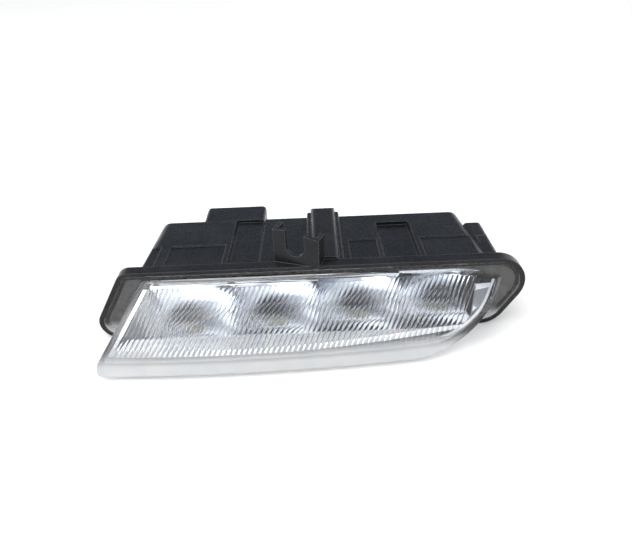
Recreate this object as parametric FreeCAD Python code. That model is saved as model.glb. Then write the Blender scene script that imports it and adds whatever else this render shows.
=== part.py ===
import FreeCAD, Part
import math
import os

from FreeCAD import Vector as V

# Bumper daytime running light: a black moulded housing with a bonded clear lens.
# Working frame: X to the right seen from the front, Y towards the back, Z up.
# The flange's front face is Y = 0 and the level that the lamp rests on is Z = 0.
# All lengths are millimetres and all angles are degrees.

# Flange: a leaning plate with a raised rim that the lens sits inside
flange_width = 219.0
flange_shift = 1.5
flange_height = 41.0
flange_thickness = 3.0
side_lean = 31.0
flange_radii = (10.0, 14.0, 15.0, 7.0)
rim_width = 2.2
rim_height = 3.4

# Tub behind the flange
wall = 2.4
tub_depth = 59.0
tub_left_gap = 20.5
tub_right_gap = 11.0
tub_bottom = 2.6
tub_top = 38.3
tub_radius = 6.0
tub_rear_drop = 2.0
tub_rear_inset = 3.0
tub_flank_width = 4.5
tub_flank_depth = 44.0
tub_flank_drop = 1.8
rest_rib_x = (-55.0, 42.0)
rest_rib_width = 2.6
rest_rib_length = 48.0

# Channels and shallow pockets moulded into the tub's top
channel_x = ((-41.5, -26.5), (41.0, 58.0))
channel_depth = 2.2
channel_wall = 1.6
channel_draft = 30.0
channel_front = 6.0
channel_rear = (tub_depth + 1.0, 49.0)
pocket_x = ((-76.0, -45.5), (22.5, 38.0), (62.0, 90.0))
pocket_front = 6.5
pocket_rear = 29.0
pocket_depth = 0.8
end_step_width = 6.0
end_step_depth = 1.1

# Screw tower along the top
tower_x = 9.3
tower_width = 14.5
tower_rise = 6.2
tower_radius = 3.4
tower_overhang = 2.5
tower_foot_width = 19.0
tower_foot_rise = 1.3
tower_foot_radius = 1.2
tower_end_chamfer = 3.0
tower_hole_radius = 2.1
tower_hole_depth = 18.0
tower_hole_drop = 3.8

# Slotted fixing bracket on the flange's top edge
bracket_left = (-17.0, 2.9)
bracket_turn = 19.0
bracket_width = 24.0
bracket_thickness = 2.2
bracket_foot = 39.6
bracket_left_height = 59.9
bracket_right_height = 57.7
bracket_right_fall = 1.6
bracket_gusset_depth = 9.5
bracket_gusset_thickness = 2.0
bracket_slot_width = 9.7
bracket_slot_centre = 11.5
bracket_slot_floor = 45.6

# Socket for the vehicle's plug, on the rear wall
socket_left = -63.0
socket_width = 37.0
socket_height = 17.0
socket_length = 19.0
socket_wall = 2.2
socket_top_drop = 0.4
socket_radius = 2.5
latch_width = 7.0
latch_rise = 1.5
latch_length = 6.0
blade_count = 3
blade_pitch = 6.0
blade_width = 2.8
blade_thickness = 0.8
blade_reach = 9.5
blade_tail = 5.0
blade_clearance = 0.05

# Breather on the rear wall
breather_x = 62.0
breather_z = 21.0
breather_radius = 5.0
breather_bore_radius = 2.6
breather_length = 6.0
cap_wall = 1.6
cap_clearance = 0.05
cap_chamfer = 0.7
cap_lugs = 4

# Lens: a deep clear box whose front face leans back towards the top
lens_wall = 2.6
lens_flange_thickness = 2.4
lens_flange_clearance = 0.3
seal_thickness = 0.8
seal_width = 2.0
lens_bottom = 3.0
lens_top = 36.2
lens_base_low_gap = (0.5, 15.0)
lens_base_high_gap = (23.0, 9.0)
lens_base_radii = (4.0, 16.0, 6.0, 5.0)
lens_nose_depth = 38.0
lens_nose_low_gap = (-1.0, 34.0)
lens_nose_high_gap = (23.0, 29.0)
lens_nose_radii = (3.0, 36.0, 4.0, 5.0)
face_lean = 45.0
face_top_y = -4.6
face_radius = 1200.0
face_crown_x = -30.0
flute_pitch = 2.4
flute_width = 2.2
flute_depth = 0.35
flute_lean = 25.0
flute_margin = 4.6

# Light engine under the tray: seat ribs, heat sink, pad, board and light sources
seat_height = 1.0
seat_x = (-70.0, 8.0, 62.0)
seat_width = 4.0
seat_length = 26.0
sink_left = -74.0
sink_right = 74.0
sink_front = -18.5
sink_corner = (20.0, 11.5)
sink_rear = 50.0
sink_thickness = 2.0
fin_first_x = 6.0
fin_last_x = 66.0
fin_count = 11
fin_thickness = 1.4
fin_height = 15.0
fin_front = 35.0
pad_thickness = 0.3
pad_rear = 8.0
board_left = -72.0
board_right = 72.0
board_corner = (14.0, 6.5)
board_front = -17.5
board_rear = 31.0
board_thickness = 1.2
source_size = 5.0
source_height = 0.7
source_dome = 1.3
board_screw_x = (-66.0, -8.0, 58.0)
board_screw_y = 28.0
screw_radius = 1.25
screw_head_radius = 2.6
screw_head_height = 1.6
screw_slot = 0.8
screw_slot_length = 3.2
screw_head_chamfer = 0.5

# Four dish reflector
cell_count = 4
cell_pitch = 42.5
cell_first_x = -59.6
cell_first_vertex = 6.8
cell_step_back = 3.35
dish_focus = 20.0
dish_wall = 1.8
dish_rim_radius = 34.0
dish_top = 33.0
divider_thickness = 1.6
ledge_rise = 0.8
ledge_thickness = 1.2
ledge_front_left = -2.4
ledge_sweep = 4.5
trim_gap = 2.2
room_gap = 0.8
lug_width = 9.0
lug_thickness = 2.0
lug_height = 20.0
lug_length = 9.0
lug_gap = 1.0
lug_cells = (0, 2, 3)
post_radius = 3.5
post_clearance = 0.5

# Tray in front of the dishes, with pointed fins between them
tray_thickness = 1.4
tray_gap = 0.6
tray_lip = 1.5
tray_wall_top = 31.0
tray_wall_gap = 0.1
ramp_start = -19.5
ramp_angle = 18.0
wing_thickness = 1.5
wing_gap = 0.95
right_wing_left = 86.0
right_wing_y = -2.6
right_wing_top = 26.0
tray_foot_inset = 2.0
tray_foot_length = 8.0
fin_width = 5.6
fin_length = 15.5
fin_rise = 6.5
fin_gap = 1.5
window_width = 9.0
window_length = 7.0
window_rib_gap = 4.4
window_rib_length = 27.0
window_rib_width = 1.0
window_rib_height = 0.7
joint_gap = 0.15

# Wiring between the socket blades and the board
header_width = 20.0
header_length = 6.0
header_height = 5.5
header_z_share = 0.5
wire_radius = 0.8
wire_bend = 5.0
small_parts = ((14.0, 4.5, 3.2), (22.0, 3.2, 2.0), (29.0, 3.2, 2.0), (38.0, 6.0, 3.6), (47.0, 2.4, 1.4))
small_part_y = 25.5


# Derived levels and places
lean = math.tan(math.radians(side_lean))
mid_height = flange_height / 2
flange_left = flange_shift - flange_width / 2
flange_right = flange_shift + flange_width / 2
tub_left_top = flange_left + tub_left_gap
tub_right_top = flange_right - tub_right_gap
floor_level = tub_bottom + wall
sink_level = floor_level + seat_height
pad_level = sink_level + sink_thickness
board_level = pad_level + pad_thickness
source_level = board_level + board_thickness
tray_top = source_level + source_height + tray_thickness - 0.1
tray_under = tray_top - tray_thickness
rear_top = tub_top - tub_rear_drop
tub_inner_rear = tub_depth - wall
socket_right = socket_left + socket_width
socket_top = rear_top - socket_top_drop
socket_floor = socket_top - socket_height
blade_z = socket_top - socket_height / 2
blade_x0 = socket_left + socket_width / 2 - blade_pitch * (blade_count - 1) / 2
blade_xs = [blade_x0 + i * blade_pitch for i in range(blade_count)]
tower_base = rear_top
tower_rear = tub_depth + tower_overhang
tower_hole_z = tower_base + tower_rise - tower_hole_drop
cell_xs = [cell_first_x + i * cell_pitch for i in range(cell_count)]
vertex_ys = [cell_first_vertex + i * cell_step_back for i in range(cell_count)]
cells_left = cell_xs[0] - cell_pitch / 2
cells_right = cell_xs[-1] + cell_pitch / 2
lens_back_y = -seal_thickness
lens_flange_inset = rim_width + lens_flange_clearance
slope = 1 / math.tan(math.radians(face_lean))
far = 400.0


def box(x0, x1, y0, y1, z0, z1):
    return Part.makeBox(x1 - x0, y1 - y0, z1 - z0, V(x0, y0, z0))


def cylinder_y(radius, x, z, y0, y1):
    return Part.makeCylinder(radius, y1 - y0, V(x, y0, z), V(0, 1, 0))


def cylinder_z(radius, x, y, z0, z1):
    return Part.makeCylinder(radius, z1 - z0, V(x, y, z0), V(0, 0, 1))


def rounded_wire(points, radii):
    # A closed outline of straight runs whose corners are replaced by tangent arcs
    count = len(points)
    trimmed = []
    for i in range(count):
        corner, before, after = points[i], points[i - 1], points[(i + 1) % count]
        into = (before - corner).normalize()
        out = (after - corner).normalize()
        half = into.getAngle(out) / 2
        reach = radii[i] / math.tan(half)
        bisector = (into + out).normalize()
        middle = corner + bisector * (radii[i] / math.sin(half) - radii[i])
        trimmed.append((corner + into * reach, middle, corner + out * reach))
    edges = []
    for i in range(count):
        start, middle, end = trimmed[i]
        edges.append(Part.Arc(start, middle, end).toShape())
        edges.append(Part.LineSegment(end, trimmed[(i + 1) % count][0]).toShape())
    return Part.Wire(edges)


def outline_xz(corners, radii, y):
    # Corners run bottom left, bottom right, top right, top left, seen from the front
    return rounded_wire([V(x, y, z) for x, z in corners], radii)


def prism_xz(corners, radii, y0, y1):
    return Part.Face(outline_xz(corners, radii, y0)).extrude(V(0, y1 - y0, 0))


def polygon_prism(points, direction):
    return Part.Face(Part.makePolygon(points + [points[0]])).extrude(direction)


def loft(front, back):
    return Part.makeLoft([front, back], True, True)


def flange_corners(inset=0.0):
    side = inset / math.cos(math.radians(side_lean))
    left, right = flange_left + side, flange_right - side
    low, high = inset, flange_height - inset
    shift_low, shift_high = (low - mid_height) * lean, (high - mid_height) * lean
    return [
        (left + shift_low, low),
        (right + shift_low, low),
        (right + shift_high, high),
        (left + shift_high, high),
    ]


def flange_prism(inset, y0, y1):
    radii = [max(r - inset, 1.0) for r in flange_radii]
    return prism_xz(flange_corners(inset), radii, y0, y1)


def tub_corners(inset, rear):
    side = inset / math.cos(math.radians(side_lean)) + (tub_rear_inset if rear else 0.0)
    low = tub_bottom + inset
    high = tub_top - inset - (tub_rear_drop if rear else 0.0)
    drop_low, drop_high = (tub_top - low) * lean, (tub_top - high) * lean
    return [
        (tub_left_top + side - drop_low, low),
        (tub_right_top - side - drop_low, low),
        (tub_right_top - side - drop_high, high),
        (tub_left_top + side - drop_high, high),
    ]


def tub_solid(inset, y_front, y_rear):
    radii = [tub_radius - inset] * 4
    front = outline_xz(tub_corners(inset, False), radii, y_front)
    rear = outline_xz(tub_corners(inset, True), radii, y_rear)
    return loft(front, rear)


def tub_top_at(y):
    return tub_top - tub_rear_drop * y / tub_depth


def channel_prism(x0, x1, y0, y1, depth, above):
    # A trough with sloping sides that follows the fall of the tub's top
    run = math.tan(math.radians(channel_draft))
    wires = []
    for y in (y0, y1):
        top = tub_top_at(y) + above
        low = tub_top_at(y) - depth
        spread = (top - low) * run
        points = [V(x0, y, low), V(x1, y, low), V(x1 + spread, y, top), V(x0 - spread, y, top)]
        wires.append(Part.makePolygon(points + [points[0]]))
    return loft(*wires)


def channel_cuts():
    return [
        channel_prism(x0, x1, channel_front, rear, channel_depth, 1.0)
        for (x0, x1), rear in zip(channel_x, channel_rear)
    ]


def channel_linings(tub_outer):
    linings = []
    for (x0, x1), rear in zip(channel_x, channel_rear):
        rear = min(rear + channel_wall, tub_depth)
        front = channel_front - channel_wall
        lining = channel_prism(x0, x1, front, rear, channel_depth + channel_wall, 0.0)
        linings.append(lining.common(tub_outer))
    return linings


def pocket_cuts():
    # Shallow panels across the front of the top, and the lower steps at its two ends
    cuts = [(x0, x1, pocket_front, pocket_depth) for x0, x1 in pocket_x]
    left, right = tub_left_top, tub_right_top
    cuts.append((left - end_step_width, left + end_step_width, flange_thickness, end_step_depth))
    cuts.append((right - end_step_width, right + 2 * end_step_width, flange_thickness, end_step_depth))
    shapes = []
    for x0, x1, y0, depth in cuts:
        wires = []
        for y in (y0, pocket_rear):
            low, high = tub_top_at(y) - depth, tub_top_at(y) + 4.0
            points = [V(x0, y, low), V(x1, y, low), V(x1, y, high), V(x0, y, high)]
            wires.append(Part.makePolygon(points + [points[0]]))
        shapes.append(loft(*wires))
    return shapes


def flank():
    # A shallower swelling on the right-hand end of the tub
    corners = tub_corners(0.0, False)
    reach = tub_flank_width
    top = corners[2][1] - tub_flank_drop
    low = mid_height - 8.0
    right_top = tub_right_top - (tub_top - top) * lean + reach
    right_low = tub_right_top - (tub_top - low) * lean + reach
    depth_in = 12.0
    points = [
        (right_low - depth_in, low),
        (right_low, low),
        (right_top, top),
        (right_top - depth_in, top),
    ]
    return prism_xz(points, [2.0, 3.0, 3.0, 2.0], flange_thickness - 1.0, tub_flank_depth)


def tower():
    # A flat-topped rib with rounded shoulders on a broader foot
    half, foot = tower_width / 2, tower_foot_width / 2
    low = tower_base - wall / 2
    body = prism_xz(
        [
            (tower_x - half, low),
            (tower_x + half, low),
            (tower_x + half, tower_base + tower_rise),
            (tower_x - half, tower_base + tower_rise),
        ],
        [0.3, 0.3, tower_radius, tower_radius],
        flange_thickness,
        tower_rear,
    )
    foot_top = tub_top + tower_foot_rise
    foot_body = prism_xz(
        [
            (tower_x - foot, low),
            (tower_x + foot, low),
            (tower_x + foot, foot_top),
            (tower_x - foot, foot_top),
        ],
        [0.3, 0.3, tower_foot_radius, tower_foot_radius],
        flange_thickness,
        tub_depth,
    )
    core_top = tower_base + tower_rise / 2
    core = box(tower_x - half, tower_x + half, tower_rear - tower_hole_depth - 4.0, tower_rear,
               tower_hole_z - half, core_top)
    chamfer_y = tower_rear - tower_end_chamfer
    top = tower_base + tower_rise
    chamfer = polygon_prism(
        [
            V(tower_x - far, chamfer_y, top),
            V(tower_x - far, tower_rear, top - tower_end_chamfer / 2),
            V(tower_x - far, tower_rear + 5.0, top),
            V(tower_x - far, tower_rear, top + 5.0),
        ],
        V(2 * far, 0, 0),
    )
    return body.fuse([foot_body, core]).cut(chamfer)


def tower_hole():
    return cylinder_y(tower_hole_radius, tower_x, tower_hole_z, tower_rear - tower_hole_depth, tower_rear + 1.0)


def bracket():
    # Built flat along X, then turned about its left end so that it faces slightly left
    half = bracket_slot_width / 2
    left_leg, right_leg = bracket_slot_centre - half, bracket_slot_centre + half
    arc_z = bracket_slot_floor + half
    right_end = bracket_right_height - bracket_right_fall
    start = V(0, 0, bracket_foot)
    points = [
        start,
        V(bracket_width, 0, bracket_foot),
        V(bracket_width, 0, right_end),
        V(right_leg, 0, bracket_right_height),
        V(right_leg, 0, arc_z),
    ]
    more = [V(left_leg, 0, arc_z), V(left_leg, 0, bracket_left_height), V(0, 0, bracket_left_height), start]
    edges = [Part.LineSegment(a, b).toShape() for a, b in zip(points, points[1:])]
    slot_arc = Part.Arc(points[-1], V(bracket_slot_centre, 0, bracket_slot_floor), more[0])
    edges.append(slot_arc.toShape())
    edges += [Part.LineSegment(a, b).toShape() for a, b in zip(more, more[1:])]
    plate = Part.Face(Part.Wire(edges)).extrude(V(0, bracket_thickness, 0))
    low = tub_top - wall / 2
    gussets = []
    for x, height in ((0.0, bracket_left_height), (bracket_width - bracket_gusset_thickness, right_end)):
        side = [
            V(x, 0, bracket_foot),
            V(x, bracket_thickness, bracket_foot),
            V(x, bracket_thickness, low),
            V(x, bracket_gusset_depth, low),
            V(x, bracket_gusset_depth, height - 0.8),
            V(x, 0, height),
        ]
        gussets.append(polygon_prism(side, V(bracket_gusset_thickness, 0, 0)))
    shape = plate.fuse(gussets)
    shape.rotate(V(0, 0, 0), V(0, 0, 1), -bracket_turn)
    shape.translate(V(bracket_left[0], bracket_left[1], 0))
    return shape.cut(box(-far, far, -far, 0.0, -far, bracket_foot))


def socket_shell():
    radii = [socket_radius] * 4
    corners = [
        (socket_left, socket_floor),
        (socket_right, socket_floor),
        (socket_right, socket_top),
        (socket_left, socket_top),
    ]
    inner = [
        (socket_left + socket_wall, socket_floor + socket_wall),
        (socket_right - socket_wall, socket_floor + socket_wall),
        (socket_right - socket_wall, socket_top - socket_wall),
        (socket_left + socket_wall, socket_top - socket_wall),
    ]
    inner_radii = [max(socket_radius - socket_wall, 0.4)] * 4
    rear = tub_depth + socket_length
    shell = prism_xz(corners, radii, tub_inner_rear, rear)
    shell = shell.cut(prism_xz(inner, inner_radii, tub_depth, rear + 1.0))
    middle = (socket_left + socket_right) / 2
    latch = polygon_prism(
        [
            V(middle - latch_width / 2, rear - 2.0, socket_floor),
            V(middle - latch_width / 2, rear - 2.0 - latch_length, socket_floor),
            V(middle - latch_width / 2, rear - 2.0 - latch_length, socket_floor - latch_rise),
        ],
        V(latch_width, 0, 0),
    )
    return shell.fuse(latch)


def blade_slots():
    grow = blade_clearance
    return [
        box(x - blade_width / 2 - grow, x + blade_width / 2 + grow, tub_inner_rear - 1.0, tub_depth + 1.0,
            blade_z - blade_thickness / 2 - grow, blade_z + blade_thickness / 2 + grow)
        for x in blade_xs
    ]


def post_places():
    # Posts stand behind the dishes that carry the reflector's lugs
    clear = dish_wall + lug_gap + post_radius
    return [(cell_xs[i], vertex_ys[i] + clear) for i in lug_cells]


def inside_room(lens_gap, tub_gap):
    # The space inside the lens and the tub together, kept clear of their walls
    front = lens_box(lens_wall + lens_gap).common(face_body(lens_wall + lens_gap))
    front = front.common(box(-far, far, -far, 0.0, -far, far))
    back = tub_solid(wall + tub_gap, -seal_thickness / 2, tub_inner_rear - tub_gap)
    return front.fuse(back)


def housing():
    tub_outer = tub_solid(0.0, 0.0, tub_depth)
    tub_inner = tub_solid(wall, -1.0, tub_inner_rear)
    outside = [
        flange_prism(0.0, 0.0, flange_thickness),
        flange_prism(0.0, -rim_height, 0.0).cut(flange_prism(rim_width, -rim_height - 1.0, 1.0)),
        flank(),
    ]
    shell = tub_outer.fuse(outside).cut(tub_inner)
    ribs = [
        box(x - rest_rib_width / 2, x + rest_rib_width / 2, flange_thickness - 1.0, rest_rib_length,
            0.0, tub_bottom + wall / 2)
        for x in rest_rib_x
    ]
    seats = [
        box(x - seat_width / 2, x + seat_width / 2, flange_thickness, seat_length,
            floor_level - wall / 2, sink_level)
        for x in seat_x
    ]
    posts = [cylinder_z(post_radius, x, y, floor_level - wall / 2, lug_height) for x, y in post_places()]
    spigot = cylinder_y(breather_radius, breather_x, breather_z, tub_inner_rear, tub_depth + breather_length)
    added = channel_linings(tub_outer) + ribs + seats + posts
    shell = shell.fuse(added + [tower(), bracket(), socket_shell(), spigot])
    bores = [cylinder_z(screw_radius, x, y, lug_height - 8.0, lug_height + 1.0) for x, y in post_places()]
    breath = cylinder_y(breather_bore_radius, breather_x, breather_z, tub_inner_rear - 1.0, far)
    cuts = channel_cuts() + pocket_cuts() + blade_slots() + bores + [tower_hole(), breath]
    return shell.cut(cuts).removeSplitter()


def lens_outlines(inset):
    # The box's outline where it leaves the flange, and at its nose in front of it
    stages = (
        (lens_base_low_gap, lens_base_high_gap, lens_base_radii, lens_back_y + (inset > 0)),
        (lens_nose_low_gap, lens_nose_high_gap, lens_nose_radii, -lens_nose_depth),
    )
    rise = lens_top - lens_bottom
    outlines = []
    for low_gap, high_gap, radii, y in stages:
        low_left, low_right = flange_left + low_gap[0], flange_right - low_gap[1]
        high_left, high_right = flange_left + high_gap[0], flange_right - high_gap[1]
        left_lean = (high_left - low_left) / rise
        right_lean = (high_right - low_right) / rise
        left_shift = inset * math.hypot(1, left_lean)
        right_shift = inset * math.hypot(1, right_lean)
        corners = [
            (low_left + left_shift + inset * left_lean, lens_bottom + inset),
            (low_right - right_shift + inset * right_lean, lens_bottom + inset),
            (high_right - right_shift - inset * right_lean, lens_top - inset),
            (high_left + left_shift - inset * left_lean, lens_top - inset),
        ]
        outlines.append((corners, [max(r - inset, 1.0) for r in radii], y))
    return outlines


def lens_box(inset):
    base, nose = lens_outlines(inset)
    return loft(outline_xz(*base), outline_xz(*nose))


def face_point():
    return V(face_crown_x, face_top_y, lens_top)


def face_normal():
    angle = math.radians(face_lean)
    return V(0, -math.sin(angle), math.cos(angle))


def face_run():
    # The direction of the flutes: up the sloping face, leaning like the lamp's ends
    slope_angle, turn = math.radians(face_lean), math.radians(flute_lean)
    up = V(0, math.cos(slope_angle), math.sin(slope_angle))
    return up * math.cos(turn) + V(1, 0, 0) * math.sin(turn)


def face_across():
    return face_run().cross(face_normal())


def face_centre():
    # A point on the axis that the crowned face is rolled about, well below the lamp
    return face_point() - face_normal() * face_radius - face_run() * far


def face_body(depth):
    # Everything behind the crowned front surface, moved back by a depth
    return Part.makeCylinder(face_radius - depth, 2 * far, face_centre(), face_run())


def face_polar(radius, angle):
    return face_centre() + face_normal() * (radius * math.cos(angle)) + face_across() * (radius * math.sin(angle))


def flute_body():
    # A scalloped slab whose front bites into the back of the lens face
    step = flute_pitch / face_radius
    count = int(flange_width / flute_pitch / 2)
    root = face_radius - lens_wall - flute_depth / 8
    crest = face_radius - lens_wall + flute_depth
    back = root - 2 * lens_wall
    edges = []
    for i in range(-count, count):
        start, end = face_polar(root, i * step), face_polar(root, (i + 1) * step)
        edges.append(Part.Arc(start, face_polar(crest, (i + 0.5) * step), end).toShape())
    ends = [face_polar(root, count * step), face_polar(back, count * step)]
    ends += [face_polar(back, -count * step), face_polar(root, -count * step)]
    edges += [Part.LineSegment(p, q).toShape() for p, q in zip(ends, ends[1:])]
    slab = Part.Face(Part.Wire(edges)).extrude(face_run() * (2 * far))
    base, nose = lens_outlines(flute_margin)
    zone = loft(outline_xz(*base), outline_xz(*nose))
    return slab.common(zone)


def lens():
    inside = lens_box(lens_wall).common(face_body(lens_wall))
    outside = lens_box(0.0).common(face_body(0.0))
    plate = flange_prism(lens_flange_inset, lens_back_y - lens_flange_thickness, lens_back_y)
    return plate.fuse(outside).cut([inside, flute_body()])


def lens_seal():
    outer = flange_prism(lens_flange_inset + 0.3, lens_back_y, 0.0)
    return outer.cut(flange_prism(lens_flange_inset + 0.3 + seal_width, lens_back_y - 1.0, 1.0))


def cut_corner_plate(left, right, front, rear, corner, low, high):
    # A plate with its right-hand front corner cut off, to clear the curve of the lens
    points = [
        V(left, front, low),
        V(right - corner[0], front, low),
        V(right, front + corner[1], low),
        V(right, rear, low),
        V(left, rear, low),
    ]
    return polygon_prism(points, V(0, 0, high - low))


def heat_sink():
    plate = cut_corner_plate(sink_left, sink_right, sink_front, sink_rear, sink_corner, sink_level, pad_level)
    step = (fin_last_x - fin_first_x) / (fin_count - 1)
    fins = [
        box(fin_first_x + i * step, fin_first_x + i * step + fin_thickness, fin_front, sink_rear,
            pad_level - 0.5, pad_level + fin_height)
        for i in range(fin_count)
    ]
    holes = [
        cylinder_z(post_radius + post_clearance, x, y, sink_level - 1.0, pad_level + 1.0)
        for x, y in post_places()
    ]
    taps = [cylinder_z(screw_radius, x, board_screw_y, sink_level - 1.0, pad_level + 1.0) for x in board_screw_x]
    return plate.fuse(fins).cut(holes + taps).removeSplitter()


def thermal_pad():
    return cut_corner_plate(board_left, board_right, board_front, pad_rear, board_corner, pad_level, board_level)


def led_board():
    plate = cut_corner_plate(
        board_left, board_right, board_front, board_rear, board_corner, board_level, source_level
    )
    spacers = [
        cylinder_z(2 * screw_radius, x, board_screw_y, pad_level, board_level + 0.2) for x in board_screw_x
    ]
    holes = [
        cylinder_z(screw_radius + 0.1, x, board_screw_y, pad_level - 1.0, source_level + 1.0)
        for x in board_screw_x
    ]
    clear = [
        cylinder_z(post_radius + post_clearance, x, y, board_level - 1.0, source_level + 1.0)
        for x, y in post_places()
    ]
    return plate.fuse(spacers).cut(holes + clear).removeSplitter()


def source_place(index):
    return cell_xs[index], vertex_ys[index] - dish_focus


def light_source(index):
    x, y = source_place(index)
    half = source_size / 2
    package = box(x - half, x + half, y - half, y + half, source_level, source_level + source_height)
    ball = Part.makeSphere(source_dome, V(x, y, source_level + source_height))
    cap = ball.common(box(x - half, x + half, y - half, y + half, source_level + 0.2, source_level + 2 * source_size))
    return package.fuse(cap).removeSplitter()


def screw(x, y, seat, length):
    shank = cylinder_z(screw_radius, x, y, seat - length, seat)
    head = cylinder_z(screw_head_radius, x, y, seat, seat + screw_head_height)
    top = seat + screw_head_height
    head = head.makeChamfer(screw_head_chamfer, [e for e in head.Edges if e.BoundBox.ZMin > top - 0.01])
    slots = [
        box(x - half_x, x + half_x, y - half_y, y + half_y, top - screw_slot, top + 1.0)
        for half_x, half_y in ((screw_slot_length / 2, screw_slot / 2), (screw_slot / 2, screw_slot_length / 2))
    ]
    return shank.fuse(head).cut(slots).removeSplitter()


def board_screws():
    length = source_level - sink_level
    return Part.makeCompound([screw(x, board_screw_y, source_level, length) for x in board_screw_x])


def reflector_screws():
    seat = lug_height + lug_thickness
    return Part.makeCompound([screw(x, y, seat, lug_thickness + 6.0) for x, y in post_places()])


def paraboloid(x, y, rim_radius):
    # A solid bowl that opens forwards, with its axis on the tray's floor level
    depth = rim_radius ** 2 / (4 * dish_focus)
    curve = Part.BezierCurve()
    tip = V(x, y, tray_top)
    edge = V(x, y - depth, tray_top + rim_radius)
    curve.setPoles([tip, V(x, y, tray_top + rim_radius / 2), edge])
    centre = V(x, y - depth, tray_top)
    wire = Part.Wire([
        curve.toShape(),
        Part.LineSegment(edge, centre).toShape(),
        Part.LineSegment(centre, tip).toShape(),
    ])
    return Part.Face(wire).revolve(tip, V(0, 1, 0), 360)


def ledge_front(x):
    return ledge_front_left + (x - cells_left) * math.tan(math.radians(ledge_sweep))


def trim_body():
    # Everything nearer to the lens than the dishes may come
    offset = (lens_wall + trim_gap) / math.sin(math.radians(face_lean))
    low, high = -20.0, 80.0
    points = []
    for z in (low, high):
        points.append(V(-far, face_top_y - (lens_top - z) * slope + offset, z))
    points += [V(-far, -far, high), V(-far, -far, low)]
    return polygon_prism(points, V(2 * far, 0, 0))


def ledge_body(gap):
    # The floor strip between the dishes and the tray, in front of each dish
    left, right = cells_left - divider_thickness, cells_right + divider_thickness
    back = vertex_ys[-1] + dish_wall
    points = [
        V(left, ledge_front(left) + gap, tray_under),
        V(right, ledge_front(right) + gap, tray_under),
        V(right, back, tray_under),
        V(left, back, tray_under),
    ]
    return polygon_prism(points, V(0, 0, tray_top + ledge_rise - tray_under))


def reflector():
    rim = dish_rim_radius
    wider = math.sqrt(rim ** 2 + 4 * dish_focus * dish_wall)
    pieces = []
    bowls = []
    low = tray_under + joint_gap
    half = cell_pitch / 2
    for x, y in zip(cell_xs, vertex_ys):
        room = box(x - half, x + half, -far / 2, far / 2, low, dish_top)
        bowls.append(paraboloid(x, y, rim).common(box(x - half, x + half, -far, far, tray_top + ledge_rise, dish_top - dish_wall)))
        pieces.append(paraboloid(x, y + dish_wall, wider).common(room))
    edges = [cells_left + i * cell_pitch for i in range(cell_count + 1)]
    shell = pieces[0].fuse(pieces[1:]).cut(bowls)
    backs = [vertex_ys[0]] + vertex_ys
    dividers = []
    for x, back in zip(edges, backs):
        corner_back = back + dish_wall - half ** 2 / (4 * dish_focus)
        dividers.append(box(x - divider_thickness / 2, x + divider_thickness / 2,
                            ledge_front(x), corner_back, tray_top, dish_top))
    front_edge = ledge_body(0.0)
    behind = box(cells_left - divider_thickness / 2, cells_right + divider_thickness / 2, -far, far, low, dish_top)
    body = shell.fuse(dividers).common(behind)
    strip = box(cells_left, cells_right, -far, far, low, tray_top + ledge_rise)
    ahead = strip.cut(front_edge)
    lugs = []
    for i, (x, y) in zip(lug_cells, post_places()):
        lug = box(x - lug_width / 2, x + lug_width / 2, vertex_ys[i] - lug_length, y + lug_length / 2,
                  lug_height, lug_height + lug_thickness)
        lugs.append(lug.cut(paraboloid(x, vertex_ys[i], rim)))
    body = body.common(inside_room(tray_gap + tray_lip + joint_gap, room_gap)).cut([trim_body(), ahead]).fuse(lugs)
    holes = [cylinder_z(screw_radius + 0.2, x, y, lug_height - 1.0, far) for x, y in post_places()]
    body = body.cut(holes).removeSplitter()
    return max(body.Solids, key=lambda solid: solid.Volume)


def fin_wedge(x):
    # A pointed wedge: a triangle at the back that runs out to a tip on the floor
    y = ledge_front(x) - fin_gap
    root = tray_top - tray_thickness / 2
    left, right = V(x - fin_width / 2, y, root), V(x + fin_width / 2, y, root)
    apex, tip = V(x, y, tray_top + fin_rise), V(x, y - fin_length, root)
    faces = [[left, right, apex], [left, apex, tip], [right, tip, apex], [left, tip, right]]
    solid = Part.Solid(Part.Shell([Part.Face(Part.makePolygon(f + [f[0]])) for f in faces]))
    if solid.Volume < 0:
        solid.reverse()
    return solid


def tray_ramp():
    # The floor's front part, which falls towards the lower edge of the lens
    fall = (ramp_start + lens_nose_depth) * math.tan(math.radians(ramp_angle))
    points = [
        V(-far, ramp_start, tray_top),
        V(-far, -lens_nose_depth, tray_top - fall),
        V(-far, -lens_nose_depth, tray_under - fall),
        V(-far, ramp_start, tray_under),
    ]
    return polygon_prism(points, V(2 * far, 0, 0))


def tray_wings():
    # Upright panels that close the two ends beside the dishes
    left, right = flange_left, cells_left - wing_gap
    front = joint_gap + wing_thickness
    points = [
        V(left, ledge_front(left) - front, tray_under),
        V(right, ledge_front(right) - front, tray_under),
        V(right, ledge_front(right) - joint_gap, tray_under),
        V(left, ledge_front(left) - joint_gap, tray_under),
    ]
    left_wing = polygon_prism(points, V(0, 0, tray_wall_top - tray_under))
    right_wing = box(right_wing_left, far, right_wing_y - wing_thickness, right_wing_y,
                     tray_under, right_wing_top)
    return [left_wing, right_wing]


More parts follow.
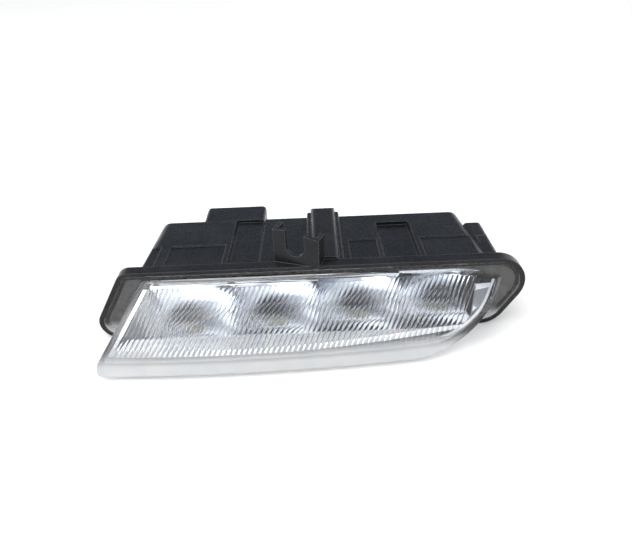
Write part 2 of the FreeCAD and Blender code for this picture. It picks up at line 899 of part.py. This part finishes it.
def tray():
    room = inside_room(tray_gap, tray_gap)
    inner = inside_room(tray_gap + tray_lip, tray_gap + tray_lip)
    slab = box(-far, far, ramp_start, far, tray_under, tray_top)
    wall_inset = lens_wall + tray_gap + tray_lip
    sides = room.cut(lens_box(wall_inset))
    sides = sides.common(box(-far, far, -far, lens_back_y, lens_bottom + wall_inset + tray_wall_gap, tray_wall_top))
    panels = [piece.common(room) for piece in [tray_ramp()] + tray_wings()]
    behind = polygon_prism(
        [
            V(-far, ledge_front(-far) - joint_gap, -far),
            V(far, ledge_front(far) - joint_gap, -far),
            V(far, far, -far),
            V(-far, far, -far),
        ],
        V(0, 0, 2 * far),
    )
    fins = [fin_wedge(cells_left + (i + 1) * cell_pitch) for i in range(cell_count - 1)]
    windows = []
    ribs = []
    for i in range(cell_count):
        x, y = source_place(i)
        windows.append(box(x - window_width / 2, x + window_width / 2, y - window_length / 2,
                           y + window_length / 2, -far, far))
        for side in (-1, 1):
            centre = y + side * (window_length / 2 + window_rib_gap / 4)
            rib = box(x - window_rib_length / 2, x + window_rib_length / 2, centre - window_rib_width / 2,
                      centre + window_rib_width / 2, tray_under, tray_top + window_rib_height)
            ribs.append(rib.common(inner))
    feet = []
    for x0, x1 in ((sink_left, board_left - joint_gap), (board_right + joint_gap, sink_right)):
        rear_y = ledge_front(x0) - tray_foot_inset
        feet.append(box(x0, x1, rear_y - tray_foot_length, rear_y, pad_level, tray_top - tray_thickness / 2))
    floor = room.common(slab).fuse(panels + [sides] + fins + ribs).cut(behind)
    return floor.fuse(feet).cut(windows).removeSplitter()


def blade(index):
    x = blade_xs[index]
    return box(x - blade_width / 2, x + blade_width / 2, tub_inner_rear - blade_tail, tub_depth + blade_reach,
               blade_z - blade_thickness / 2, blade_z + blade_thickness / 2)


def header_middle():
    return blade_xs[(blade_count - 1) // 2]


def board_header():
    x = header_middle()
    rear = board_rear - 0.5
    body = box(x - header_width / 2, x + header_width / 2, rear - header_length, rear,
               source_level, source_level + header_height)
    return body.makeChamfer(0.5, [e for e in body.Edges if e.BoundBox.ZMin > source_level + header_height - 0.01])


def wire(index):
    # From the header's back straight out, up behind the board and back to the blade's tail
    x = blade_xs[index]
    low = source_level + header_height * header_z_share
    start_y = board_rear - 0.5
    end_y = tub_inner_rear - blade_tail
    rise_y = (start_y + end_y) / 2
    bend = wire_bend
    cut = bend * (1 - math.sqrt(0.5))
    points = [
        V(x, start_y, low),
        V(x, rise_y - bend, low),
        V(x, rise_y - cut, low + cut),
        V(x, rise_y, low + bend),
        V(x, rise_y, blade_z - bend),
        V(x, rise_y + cut, blade_z - cut),
        V(x, rise_y + bend, blade_z),
        V(x, end_y, blade_z),
    ]
    edges = [
        Part.LineSegment(points[0], points[1]).toShape(),
        Part.Arc(points[1], points[2], points[3]).toShape(),
        Part.LineSegment(points[3], points[4]).toShape(),
        Part.Arc(points[4], points[5], points[6]).toShape(),
        Part.LineSegment(points[6], points[7]).toShape(),
    ]
    path = Part.Wire(edges)
    section = Part.Wire(Part.Circle(points[0], V(0, 1, 0), wire_radius).toShape())
    return path.makePipeShell([section], True, False)


def board_components():
    parts = []
    for x, size, height in small_parts:
        parts.append(box(x - size / 2, x + size / 2, small_part_y - size / 2, small_part_y + size / 2,
                         source_level, source_level + height))
    return Part.makeCompound(parts)


def breather_cap():
    inner = breather_radius + cap_clearance
    outer = inner + cap_wall
    rear = tub_depth + breather_length
    body = cylinder_y(outer, breather_x, breather_z, tub_depth + 0.5, rear + cap_wall)
    body = body.makeChamfer(cap_chamfer, [e for e in body.Edges if e.BoundBox.YMin > rear + cap_wall - 0.01])
    hollow = cylinder_y(inner, breather_x, breather_z, tub_depth, rear)
    slots = [
        box(-0.9, 0.9, inner - 1.0, outer + 1.0, 0.0, 2.5) for _ in range(cap_lugs)
    ]
    for i, slot in enumerate(slots):
        slot.rotate(V(0, 0, 0), V(0, 0, 1), i * 360 / cap_lugs)
        slot.rotate(V(0, 0, 0), V(1, 0, 0), -90)
        slot.translate(V(breather_x, tub_depth + 0.5, breather_z))
    return body.cut([hollow] + slots)


def all_parts():
    parts = {
        "housing": housing(),
        "lens": lens(),
        "lens_seal": lens_seal(),
        "reflector": reflector(),
        "reflector_screws": reflector_screws(),
        "bezel_tray": tray(),
        "led_board": led_board(),
        "board_screws": board_screws(),
        "board_components": board_components(),
        "board_header": board_header(),
        "thermal_pad": thermal_pad(),
        "heat_sink": heat_sink(),
        "breather_cap": breather_cap(),
    }
    for i in range(cell_count):
        parts[f"led_{i + 1}"] = light_source(i)
    for i in range(blade_count):
        parts[f"socket_blade_{i + 1}"] = blade(i)
        parts[f"wire_{i + 1}"] = wire(i)
    return parts


def main():
    os.makedirs("parts", exist_ok=True)
    parts = all_parts()
    boxes = [shape.optimalBoundingBox(False, False) for shape in parts.values()]
    x = (min(b.XMin for b in boxes) + max(b.XMax for b in boxes)) / 2
    y = (min(b.YMin for b in boxes) + max(b.YMax for b in boxes)) / 2
    z = min(b.ZMin for b in boxes)
    shift = V(-x, -y, -z)
    print("origin shift", [round(v, 3) for v in shift])
    for name, shape in parts.items():
        shape.translate(shift)
        shape.exportStep(f"parts/{name}.step")
        print(name, len(shape.Solids), round(shape.Volume), shape.isValid())


if __name__ == "__main__":
    main()
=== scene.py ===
import math

import bpy
from mathutils import Matrix, Vector

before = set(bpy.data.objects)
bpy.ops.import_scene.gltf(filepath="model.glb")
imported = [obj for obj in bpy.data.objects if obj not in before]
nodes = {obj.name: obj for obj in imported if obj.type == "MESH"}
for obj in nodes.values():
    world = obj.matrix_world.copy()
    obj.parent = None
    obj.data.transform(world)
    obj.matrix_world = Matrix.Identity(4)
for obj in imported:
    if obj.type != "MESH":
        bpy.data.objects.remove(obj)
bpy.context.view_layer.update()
millimetre = 0.001
noiseLow, noiseHigh = 0.3, 0.7  # nearly all of a noise pattern lies between these
print("frame loaded")


def toLinear(hexColour):
    channels = [int(hexColour[i:i + 2], 16) / 255 for i in (1, 3, 5)]
    linear = [c / 12.92 if c <= 0.04045 else ((c + 0.055) / 1.055) ** 2.4 for c in channels]
    return (*linear, 1.0)


def perMillimetre(sizeMm):
    return 1.0 / (sizeMm * millimetre)


def addNode(tree, kind, inputs, **settings):
    node = tree.nodes.new(kind)
    for name, value in settings.items():
        setattr(node, name, value)
    for name, value in inputs.items():
        if isinstance(value, bpy.types.NodeSocket):
            tree.links.new(value, node.inputs[name])
        else:
            node.inputs[name].default_value = value
    return node


def startMaterial(name):
    material = bpy.data.materials.new(name)
    material.use_nodes = True
    tree = material.node_tree
    tree.nodes.clear()
    place = addNode(tree, "ShaderNodeTexCoord", {}).outputs["Object"]
    return material, tree, place


grainFlatness = 4  # a grain is four times as wide as it is deep
# patch is the size of the colour changes, grain the size of the fine roughness, both in millimetres
innerFinishes = {
    # vacuum-plated plastic: a bright mirror with a slight ripple from the mould
    "chromed plastic": {"dark": "#dfe4ec", "light": "#f6f8fb", "patch": 18, "grain": 2.5,
                        "roughness": (0.03, 0.10), "bump": 0.03, "metallic": 1.0},
    # the same plating over a tray whose fins and upright walls have a frosted mould: those look white
    "frosted chromed plastic": {"dark": "#e6e9ee", "light": "#f8f9fb", "patch": 18, "grain": 2.5,
                                "roughness": (0.03, 0.10), "bump": 0.03, "metallic": 1.0,
                                "uprightRoughness": 0.6, "uprightSpan": (0.5, 0.65)},
    # squeezed-out glue with road dust in it: dull and brown-grey
    "bonding adhesive": {"dark": "#5a4f42", "light": "#a39c90", "patch": 3, "grain": 0.8,
                         "roughness": (0.5, 0.8), "bump": 0.5, "metallic": 0.0},
    # solder mask over glass fibre: white with a faint weave
    "white circuit board": {"dark": "#d5d8d2", "light": "#eef0ea", "patch": 12, "grain": 0.6,
                            "roughness": (0.3, 0.45), "bump": 0.1, "metallic": 0.0},
    # extruded fins left as cut: a soft grey shine
    "milled aluminium": {"dark": "#a9adb2", "light": "#c9ccd1", "patch": 10, "grain": 0.5,
                         "roughness": (0.25, 0.4), "bump": 0.15, "metallic": 1.0},
    # barrel-plated screws: a cool, slightly uneven shine
    "zinc plated steel": {"dark": "#9a9c9e", "light": "#c4c6c8", "patch": 2, "grain": 0.3,
                          "roughness": (0.2, 0.38), "bump": 0.1, "metallic": 1.0},
    # moulded epoxy: nearly black and matt
    "chip epoxy": {"dark": "#161617", "light": "#252527", "patch": 2, "grain": 0.2,
                   "roughness": (0.45, 0.6), "bump": 0.2, "metallic": 0.0},
    # unpainted connector body: warm off-white and waxy
    "natural nylon": {"dark": "#cfc8b4", "light": "#e2dcca", "patch": 4, "grain": 0.3,
                      "roughness": (0.4, 0.5), "bump": 0.1, "metallic": 0.0},
    # filled silicone sheet: soft blue-grey without shine
    "silicone pad": {"dark": "#6d7784", "light": "#838c98", "patch": 5, "grain": 0.4,
                     "roughness": (0.6, 0.75), "bump": 0.2, "metallic": 0.0},
    # moulded cap: black with a powdery bloom
    "black rubber": {"dark": "#121212", "light": "#222222", "patch": 4, "grain": 0.35,
                     "roughness": (0.55, 0.75), "bump": 0.3, "metallic": 0.0},
    # cast phosphor resin: pale cream with a wet gloss
    "light source resin": {"dark": "#dcd8c6", "light": "#eeebdf", "patch": 1.5, "grain": 0.2,
                           "roughness": (0.15, 0.3), "bump": 0.05, "metallic": 0.0},
    # stamped contact blades: a warm silver shine
    "tinned brass": {"dark": "#b3aa90", "light": "#d2ccb8", "patch": 2, "grain": 0.25,
                     "roughness": (0.18, 0.35), "bump": 0.1, "metallic": 1.0},
    # drawn wire covers: a satin skin in three colours
    "red wire cover": {"dark": "#7d1412", "light": "#a2201c", "patch": 3, "grain": 0.3,
                       "roughness": (0.35, 0.5), "bump": 0.1, "metallic": 0.0},
    "black wire cover": {"dark": "#101011", "light": "#1e1e20", "patch": 3, "grain": 0.3,
                         "roughness": (0.35, 0.5), "bump": 0.1, "metallic": 0.0},
    "yellow wire cover": {"dark": "#b48a14", "light": "#d0a526", "patch": 3, "grain": 0.3,
                          "roughness": (0.35, 0.5), "bump": 0.1, "metallic": 0.0},
}


def makeInnerFinish(name, finish):
    material, tree, place = startMaterial(name)
    patches = addNode(tree, "ShaderNodeTexNoise", {
        "Vector": place, "Scale": perMillimetre(finish["patch"]), "Detail": 4.0})
    grain = addNode(tree, "ShaderNodeTexNoise", {
        "Vector": place, "Scale": perMillimetre(finish["grain"]), "Detail": 6.0})
    share = addNode(tree, "ShaderNodeMapRange", {
        "Value": patches.outputs["Fac"], "From Min": noiseLow, "From Max": noiseHigh})
    colour = addNode(tree, "ShaderNodeMix", {
        0: share.outputs["Result"], 6: toLinear(finish["dark"]), 7: toLinear(finish["light"]),
    }, data_type="RGBA")
    smooth, rough = finish["roughness"]
    roughness = addNode(tree, "ShaderNodeMapRange", {
        "Value": grain.outputs["Fac"], "From Min": noiseLow, "From Max": noiseHigh,
        "To Min": smooth, "To Max": rough})
    if "uprightRoughness" in finish:
        mirror, frosted = finish["uprightSpan"]
        geometry = addNode(tree, "ShaderNodeNewGeometry", {})
        facing = addNode(tree, "ShaderNodeSeparateXYZ", {"Vector": geometry.outputs["Normal"]})
        sideways = addNode(tree, "ShaderNodeMath", {0: facing.outputs["X"]}, operation="ABSOLUTE")
        roughness = addNode(tree, "ShaderNodeMapRange", {
            "Value": sideways.outputs["Value"], "From Min": mirror, "From Max": frosted,
            "To Min": roughness.outputs["Result"], "To Max": finish["uprightRoughness"]})
    relief = addNode(tree, "ShaderNodeBump", {
        "Height": grain.outputs["Fac"], "Strength": finish["bump"],
        "Distance": finish["grain"] * millimetre / grainFlatness})
    shader = addNode(tree, "ShaderNodeBsdfPrincipled", {
        "Base Color": colour.outputs[2], "Roughness": roughness.outputs["Result"],
        "Normal": relief.outputs["Normal"], "Metallic": finish["metallic"]})
    addNode(tree, "ShaderNodeOutputMaterial", {"Surface": shader.outputs["BSDF"]})
    return material


# injection-moulded ABS: black satin, pale scuffs, small rounded edges that catch the light,
# a pale edge colour that is partly wear and partly a painted highlight,
# and brown dust on the part of the flange's front face that the lens covers
housingFinish = {
    "dark": "#141518", "light": "#202124", "patch": 22,
    "scuff": "#3f3d3a", "scuffSize": 5, "scuffMost": 0.25, "scuffSpan": (0.58, 0.8),
    "dustDark": "#1a120b", "dustLight": "#3d2e21",
    "dustFront": -20.1, "dustTop": 38.6,  # the flange face and the top of its rim, in millimetres
    # from bare to dusty: millimetres from those two, and the forward part of the normal
    "dustBehind": (0.9, -0.4), "dustAhead": (-1.2, -0.6), "dustAbove": (0.4, -0.4),
    "dustFacing": (-0.7, -0.95),
    "roughness": (0.2, 0.38), "gloss": 0.24,
    "grain": 0.55, "grainDepth": 0.1, "grainStrength": 0.12,  # drawn coarser than moulded grain, to show
    # the pale edge colour is partly wear and partly a painted highlight along the rounded edges
    "edge": 0.7, "edgeWearAndHighlight": "#77787a", "edgeWearAndHighlightMost": 0.55, "edgeWearAndHighlightSpan": (0.985, 0.75),
}


def makeHousingFinish(finish):
    material, tree, place = startMaterial("black moulded plastic")
    patches = addNode(tree, "ShaderNodeTexNoise", {
        "Vector": place, "Scale": perMillimetre(finish["patch"]), "Detail": 4.0})
    scuffs = addNode(tree, "ShaderNodeTexNoise", {
        "Vector": place, "Scale": perMillimetre(finish["scuffSize"]), "Detail": 8.0})
    grain = addNode(tree, "ShaderNodeTexNoise", {
        "Vector": place, "Scale": perMillimetre(finish["grain"]), "Detail": 3.0})
    share = addNode(tree, "ShaderNodeMapRange", {
        "Value": patches.outputs["Fac"], "From Min": noiseLow, "From Max": noiseHigh})
    black = addNode(tree, "ShaderNodeMix", {
        0: share.outputs["Result"], 6: toLinear(finish["dark"]), 7: toLinear(finish["light"]),
    }, data_type="RGBA")
    clean, scuffed = finish["scuffSpan"]
    scuffShare = addNode(tree, "ShaderNodeMapRange", {
        "Value": scuffs.outputs["Fac"], "From Min": clean, "From Max": scuffed,
        "To Max": finish["scuffMost"]})
    worn = addNode(tree, "ShaderNodeMix", {
        0: scuffShare.outputs["Result"], 6: black.outputs[2], 7: toLinear(finish["scuff"])}, data_type="RGBA")

    # dust lies where the surface is at the flange face, looks forward and is below the bracket
    axes = addNode(tree, "ShaderNodeSeparateXYZ", {"Vector": place})
    geometry = addNode(tree, "ShaderNodeNewGeometry", {})
    facing = addNode(tree, "ShaderNodeSeparateXYZ", {"Vector": geometry.outputs["Normal"]})
    front, top = finish["dustFront"] * millimetre, finish["dustTop"] * millimetre
    places = (
        (axes.outputs["Y"], front, finish["dustBehind"]),
        (axes.outputs["Y"], front, finish["dustAhead"]),
        (axes.outputs["Z"], top, finish["dustAbove"]),
    )
    limits = [(value, edge + bare * millimetre, edge + dusty * millimetre)
              for value, edge, (bare, dusty) in places]
    limits.append((facing.outputs["Y"], *finish["dustFacing"]))
    dustShare = 1.0
    for value, bare, dusty in limits:
        limit = addNode(tree, "ShaderNodeMapRange", {"Value": value, "From Min": bare, "From Max": dusty})
        product = addNode(tree, "ShaderNodeMath", {
            0: limit.outputs["Result"], 1: dustShare}, operation="MULTIPLY")
        dustShare = product.outputs["Value"]
    dustTone = addNode(tree, "ShaderNodeMapRange", {
        "Value": scuffs.outputs["Fac"], "From Min": noiseLow, "From Max": noiseHigh})
    dust = addNode(tree, "ShaderNodeMix", {
        0: dustTone.outputs["Result"], 6: toLinear(finish["dustDark"]), 7: toLinear(finish["dustLight"]),
    }, data_type="RGBA")
    dusted = addNode(tree, "ShaderNodeMix", {
        0: dustShare, 6: worn.outputs[2], 7: dust.outputs[2]}, data_type="RGBA")

    # worn edges with a painted highlight: pale colour where the rounded normal turns away from the flat one
    rounded = addNode(tree, "ShaderNodeBevel", {"Radius": finish["edge"] * millimetre}, samples=6)
    turn = addNode(tree, "ShaderNodeVectorMath", {
        0: rounded.outputs["Normal"], 1: geometry.outputs["Normal"]}, operation="DOT_PRODUCT")
    flat, turned = finish["edgeWearAndHighlightSpan"]
    edgeWearAndHighlightShare = addNode(tree, "ShaderNodeMapRange", {
        "Value": turn.outputs["Value"], "From Min": flat, "From Max": turned, "To Max": finish["edgeWearAndHighlightMost"]})
    colour = addNode(tree, "ShaderNodeMix", {
        0: edgeWearAndHighlightShare.outputs["Result"], 6: dusted.outputs[2], 7: toLinear(finish["edgeWearAndHighlight"]),
    }, data_type="RGBA")

    smooth, rough = finish["roughness"]
    roughness = addNode(tree, "ShaderNodeMapRange", {
        "Value": scuffs.outputs["Fac"], "From Min": noiseLow, "From Max": noiseHigh,
        "To Min": smooth, "To Max": rough})
    relief = addNode(tree, "ShaderNodeBump", {
        "Height": grain.outputs["Fac"], "Normal": rounded.outputs["Normal"],
        "Strength": finish["grainStrength"], "Distance": finish["grainDepth"] * millimetre})
    shader = addNode(tree, "ShaderNodeBsdfPrincipled", {
        "Base Color": colour.outputs[2], "Roughness": roughness.outputs["Result"],
        "Normal": relief.outputs["Normal"], "Specular IOR Level": finish["gloss"]})
    addNode(tree, "ShaderNodeOutputMaterial", {"Surface": shader.outputs["BSDF"]})
    return material


# moulded acrylic: clear on its fluted face, hazy from wear, milky in its side walls and along its foot
lensFinish = {
    "cool": "#f4f7fa", "clean": "#ffffff", "haze": 9, "hazeSpan": (0.4, 0.75), "roughness": (0.0, 0.035),
    "scratch": 1.2, "scratchDepth": 0.05, "scratchStrength": 0.02, "bend": 1.49,
    "wallClear": 0.45, "wallSpan": (0.32, 0.47), "footClear": 0.6, "footBottom": 6, "footTop": 11,
}


def makeLensFinish(finish):
    material, tree, place = startMaterial("clear acrylic")
    haze = addNode(tree, "ShaderNodeTexNoise", {
        "Vector": place, "Scale": perMillimetre(finish["haze"]), "Detail": 6.0})
    scratches = addNode(tree, "ShaderNodeTexNoise", {
        "Vector": place, "Scale": perMillimetre(finish["scratch"]), "Detail": 5.0})
    share = addNode(tree, "ShaderNodeMapRange", {
        "Value": haze.outputs["Fac"], "From Min": noiseLow, "From Max": noiseHigh})
    tint = addNode(tree, "ShaderNodeMix", {
        0: share.outputs["Result"], 6: toLinear(finish["cool"]), 7: toLinear(finish["clean"]),
    }, data_type="RGBA")
    smooth, rough = finish["roughness"]
    fresh, hazy = finish["hazeSpan"]
    roughness = addNode(tree, "ShaderNodeMapRange", {
        "Value": haze.outputs["Fac"], "From Min": fresh, "From Max": hazy, "To Min": smooth, "To Max": rough})
    relief = addNode(tree, "ShaderNodeBump", {
        "Height": scratches.outputs["Fac"], "Strength": finish["scratchStrength"],
        "Distance": finish["scratchDepth"] * millimetre})

    # side walls are the surfaces that look neither forward nor back
    geometry = addNode(tree, "ShaderNodeNewGeometry", {})
    facing = addNode(tree, "ShaderNodeSeparateXYZ", {"Vector": geometry.outputs["Normal"]})
    turned = addNode(tree, "ShaderNodeMath", {0: facing.outputs["Y"]}, operation="ABSOLUTE")
    wall, face = finish["wallSpan"]
    wallClear = addNode(tree, "ShaderNodeMapRange", {
        "Value": turned.outputs["Value"], "From Min": wall, "From Max": face, "To Min": finish["wallClear"]})
    height = addNode(tree, "ShaderNodeSeparateXYZ", {"Vector": place})
    footClear = addNode(tree, "ShaderNodeMapRange", {
        "Value": height.outputs["Z"], "From Min": finish["footBottom"] * millimetre,
        "From Max": finish["footTop"] * millimetre, "To Min": finish["footClear"]})
    clear = addNode(tree, "ShaderNodeMath", {
        0: wallClear.outputs["Result"], 1: footClear.outputs["Result"]}, operation="MULTIPLY")
    shader = addNode(tree, "ShaderNodeBsdfPrincipled", {
        "Base Color": tint.outputs[2], "Roughness": roughness.outputs["Result"],
        "Normal": relief.outputs["Normal"], "Transmission Weight": clear.outputs["Value"],
        "IOR": finish["bend"]})
    addNode(tree, "ShaderNodeOutputMaterial", {"Surface": shader.outputs["BSDF"]})
    return material


materials = {name: makeInnerFinish(name, finish) for name, finish in innerFinishes.items()}
materials["black moulded plastic"] = makeHousingFinish(housingFinish)
materials["clear acrylic"] = makeLensFinish(lensFinish)
nodeMaterials = {
    "housing": "black moulded plastic",
    "lens": "clear acrylic",
    "lens_seal": "bonding adhesive",
    "reflector": "chromed plastic",
    "bezel_tray": "frosted chromed plastic",
    "reflector_screws": "zinc plated steel",
    "board_screws": "zinc plated steel",
    "led_board": "white circuit board",
    "board_components": "chip epoxy",
    "board_header": "natural nylon",
    "thermal_pad": "silicone pad",
    "heat_sink": "milled aluminium",
    "breather_cap": "black rubber",
    "wire_1": "red wire cover",
    "wire_2": "black wire cover",
    "wire_3": "yellow wire cover",
}
for index in range(1, 5):
    nodeMaterials[f"led_{index}"] = "light source resin"
for index in range(1, 4):
    nodeMaterials[f"socket_blade_{index}"] = "tinned brass"
for nodeName, materialName in nodeMaterials.items():
    mesh = nodes[nodeName].data
    mesh.materials.clear()
    mesh.materials.append(materials[materialName])
print("materials made")


# the studio is in metres, its patches in millimetres
# pale paper: nearly white, with faint clouds
studioFloor = {"size": 6.0, "dark": "#f7f7f7", "light": "#fcfcfc", "patch": 400}


def makeFloor(floor):
    bpy.ops.object.select_all(action="DESELECT")
    bpy.ops.mesh.primitive_plane_add(size=floor["size"], location=(0, 0, 0))
    plane = bpy.context.active_object
    plane.name = "studioFloor"
    material, tree, place = startMaterial("pale paper sweep")
    patches = addNode(tree, "ShaderNodeTexNoise", {"Vector": place, "Scale": perMillimetre(floor["patch"])})
    tone = addNode(tree, "ShaderNodeMix", {
        0: patches.outputs["Fac"], 6: toLinear(floor["dark"]), 7: toLinear(floor["light"])}, data_type="RGBA")
    shader = addNode(tree, "ShaderNodeBsdfPrincipled", {
        "Base Color": tone.outputs[2], "Roughness": 0.9, "Specular IOR Level": 0.0})
    addNode(tree, "ShaderNodeOutputMaterial", {"Surface": shader.outputs["BSDF"]})
    plane.data.materials.append(material)


# grey cloths out of view that give the chrome something dark to mirror
studioScreens = {
    "frontScreen": {"spot": (0.05, -0.9, 0.18), "size": 1.3, "dark": "#0e121b", "light": "#1a2130"},
    "rightScreen": {"spot": (1.3, -0.1, 0.7), "size": 2.6, "dark": "#4c5872", "light": "#5d6a86"},
    "backScreen": {"spot": (0, 1.3, 0.8), "size": 2.4, "dark": "#7c8592", "light": "#8d96a3"},
}
screenPatch = 60  # millimetres
screenSolid = 0.3  # share of a screen's size at which its edge starts to thin out


def makeScreen(name, screen):
    bpy.ops.object.select_all(action="DESELECT")
    bpy.ops.mesh.primitive_plane_add(size=screen["size"], location=screen["spot"])
    cloth = bpy.context.active_object
    cloth.name = name
    cloth.rotation_euler = (-Vector(screen["spot"])).to_track_quat("Z", "Y").to_euler()
    cloth.visible_camera = False
    cloth.visible_diffuse = False  # mirrored in the lamp, with no shadow on the floor
    cloth.visible_shadow = False
    material, tree, place = startMaterial(name + " cloth")
    patches = addNode(tree, "ShaderNodeTexNoise", {"Vector": place, "Scale": perMillimetre(screenPatch)})
    tone = addNode(tree, "ShaderNodeMix", {
        0: patches.outputs["Fac"], 6: toLinear(screen["dark"]), 7: toLinear(screen["light"]),
    }, data_type="RGBA")
    shader = addNode(tree, "ShaderNodeBsdfPrincipled", {
        "Base Color": tone.outputs[2], "Roughness": 1.0, "Specular IOR Level": 0.0})
    reach = addNode(tree, "ShaderNodeVectorMath", {0: place}, operation="LENGTH")
    fade = addNode(tree, "ShaderNodeMapRange", {
        "Value": reach.outputs["Value"], "From Min": screen["size"] * screenSolid,
        "From Max": screen["size"] / 2})
    thin = addNode(tree, "ShaderNodeBsdfTransparent", {})
    softEdge = addNode(tree, "ShaderNodeMixShader", {
        0: fade.outputs["Result"], 1: shader.outputs["BSDF"], 2: thin.outputs["BSDF"]})
    addNode(tree, "ShaderNodeOutputMaterial", {"Surface": softEdge.outputs["Shader"]})
    cloth.data.materials.append(material)


studioSky = {"horizon": "#e3e7ec", "top": "#ffffff", "topHeight": 0.6}


def makeSky(sky):
    world = bpy.data.worlds.new("softStudio")
    bpy.context.scene.world = world
    world.use_nodes = True
    tree = world.node_tree
    tree.nodes.clear()
    direction = addNode(tree, "ShaderNodeTexCoord", {}).outputs["Generated"]
    axes = addNode(tree, "ShaderNodeSeparateXYZ", {"Vector": direction})
    share = addNode(tree, "ShaderNodeMapRange", {"Value": axes.outputs["Z"], "From Max": sky["topHeight"]})
    colour = addNode(tree, "ShaderNodeMix", {
        0: share.outputs["Result"], 6: toLinear(sky["horizon"]), 7: toLinear(sky["top"])}, data_type="RGBA")
    # the backdrop is plain white for the eye, for mirrors and through glass
    ray = addNode(tree, "ShaderNodeLightPath", {})
    mirrored = addNode(tree, "ShaderNodeMath", {
        0: ray.outputs["Is Glossy Ray"], 1: ray.outputs["Is Transmission Ray"]}, operation="MAXIMUM")
    seen = addNode(tree, "ShaderNodeMath", {
        0: ray.outputs["Is Camera Ray"], 1: mirrored.outputs["Value"]}, operation="MAXIMUM")
    shown = addNode(tree, "ShaderNodeMix", {
        0: seen.outputs["Value"], 6: colour.outputs[2], 7: toLinear(sky["top"])}, data_type="RGBA")
    background = addNode(tree, "ShaderNodeBackground", {"Color": shown.outputs[2], "Strength": 1.0})
    addNode(tree, "ShaderNodeOutputWorld", {"Surface": background.outputs["Background"]})


studioLights = {
    "skyPanel": {"spot": (-0.4, -0.3, 1.1), "size": 1.0, "power": 6},
    "leftPanel": {"spot": (-0.9, -0.4, 0.4), "size": 0.6, "power": 1.5},
    "rightPanel": {"spot": (0.9, -0.4, 0.4), "size": 0.6, "power": 1.5},
}


def makeLight(name, light):
    data = bpy.data.lights.new(name, "AREA")
    data.shape = "DISK"
    data.size = light["size"]
    data.energy = light["power"]
    lamp = bpy.data.objects.new(name, data)
    lamp.location = light["spot"]
    lamp.rotation_euler = (-Vector(light["spot"])).to_track_quat("-Z", "Y").to_euler()
    bpy.context.scene.collection.objects.link(lamp)


# the photograph's frame is 632 pixels wide; lengths are in millimetres, angles in degrees
photoCamera = {
    "spot": (4.42, -252.4, 187.3), "pitch": 32.6, "roll": 2.35,
    "focalPixels": 540, "framePixels": 632, "sensor": 36.0, "clipStart": 10,
}


def makeCamera(view):
    data = bpy.data.cameras.new("photoCamera")
    data.sensor_width = view["sensor"]
    data.lens = view["focalPixels"] / view["framePixels"] * data.sensor_width
    data.clip_start = view["clipStart"] * millimetre
    camera = bpy.data.objects.new("photoCamera", data)
    pitch, roll = math.radians(view["pitch"]), math.radians(view["roll"])
    forward = Vector((0, math.cos(pitch), -math.sin(pitch)))
    level = Vector((0, math.sin(pitch), math.cos(pitch)))
    right = Vector((1, 0, 0)) * math.cos(roll) - level * math.sin(roll)
    up = Vector((1, 0, 0)) * math.sin(roll) + level * math.cos(roll)
    spot = Vector(view["spot"]) * millimetre
    camera.matrix_world = Matrix.Translation(spot) @ Matrix((right, up, -forward)).transposed().to_4x4()
    bpy.context.scene.collection.objects.link(camera)
    bpy.context.scene.camera = camera


makeFloor(studioFloor)
makeSky(studioSky)
for name, screen in studioScreens.items():
    makeScreen(name, screen)
for name, light in studioLights.items():
    makeLight(name, light)
makeCamera(photoCamera)
bpy.context.scene.view_settings.view_transform = "Standard"
print("stage, light and camera made")
